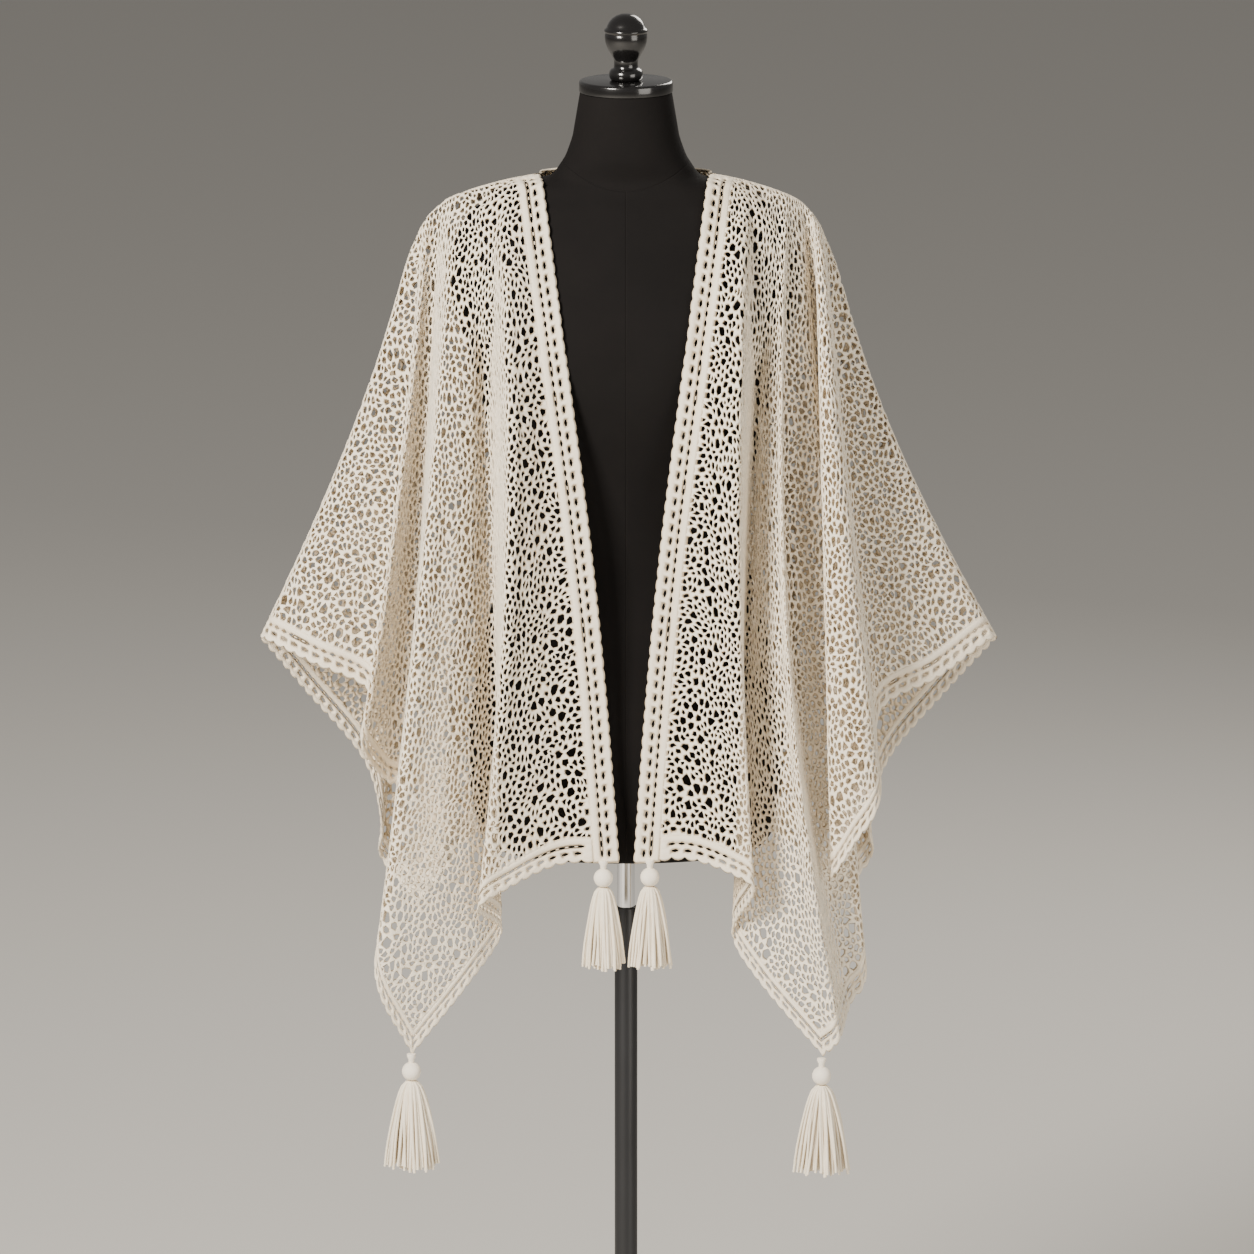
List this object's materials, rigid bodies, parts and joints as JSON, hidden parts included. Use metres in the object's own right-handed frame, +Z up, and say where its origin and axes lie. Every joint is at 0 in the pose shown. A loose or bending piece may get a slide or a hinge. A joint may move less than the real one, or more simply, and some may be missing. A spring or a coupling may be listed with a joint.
{
  "type": "lace shawl on dress form",
  "caption": "Open-fronted ruana shawl in crocheted lace with scalloped edging and corner tassels, draped on a limbless dress form with a height-adjustable pole and round base.",
  "frame": {"origin": "centre of the base plate's underside, on the pole's axis", "axes": "+Z up along the pole, the open front faces -Y, +X towards the wearer's left"},
  "size_m": [0.748, 0.3365, 1.6191],
  "materials": {
    "cream_yarn": "matte crocheted yarn",
    "cream_cord": "matte twisted cord",
    "black_cloth": "matte woven jersey",
    "black_gloss": "glossy lacquer",
    "chrome": "polished",
    "black_metal": "satin paint"
  },
  "bodies": {
    "stand": {"base_plate": "black_metal", "base_socket": "black_metal", "outer_tube": "black_metal"},
    "form": {"inner_tube": "chrome", "form_torso": "black_cloth", "neck_cap": "black_gloss", "finial": "black_gloss", "front_right_lace": "cream_yarn", "front_right_edging": "cream_yarn", "front_left_lace": "cream_yarn", "front_left_edging": "cream_yarn", "back_lace": "cream_yarn", "back_hem_edging": "cream_yarn", "back_neck_edging": "cream_yarn", "front_right_inner_tassel_bead": "cream_cord", "front_right_inner_tassel_skirt": "cream_cord", "front_right_outer_tassel_bead": "cream_cord", "front_right_outer_tassel_skirt": "cream_cord", "front_left_inner_tassel_bead": "cream_cord", "front_left_inner_tassel_skirt": "cream_cord", "front_left_outer_tassel_bead": "cream_cord", "front_left_outer_tassel_skirt": "cream_cord"}
  },
  "joints": [
    {"name": "height", "type": "slide", "parent": "stand", "child": "form", "axis": [0, 0, 1], "range_m": [-0.06, 0.2]}
  ]
}
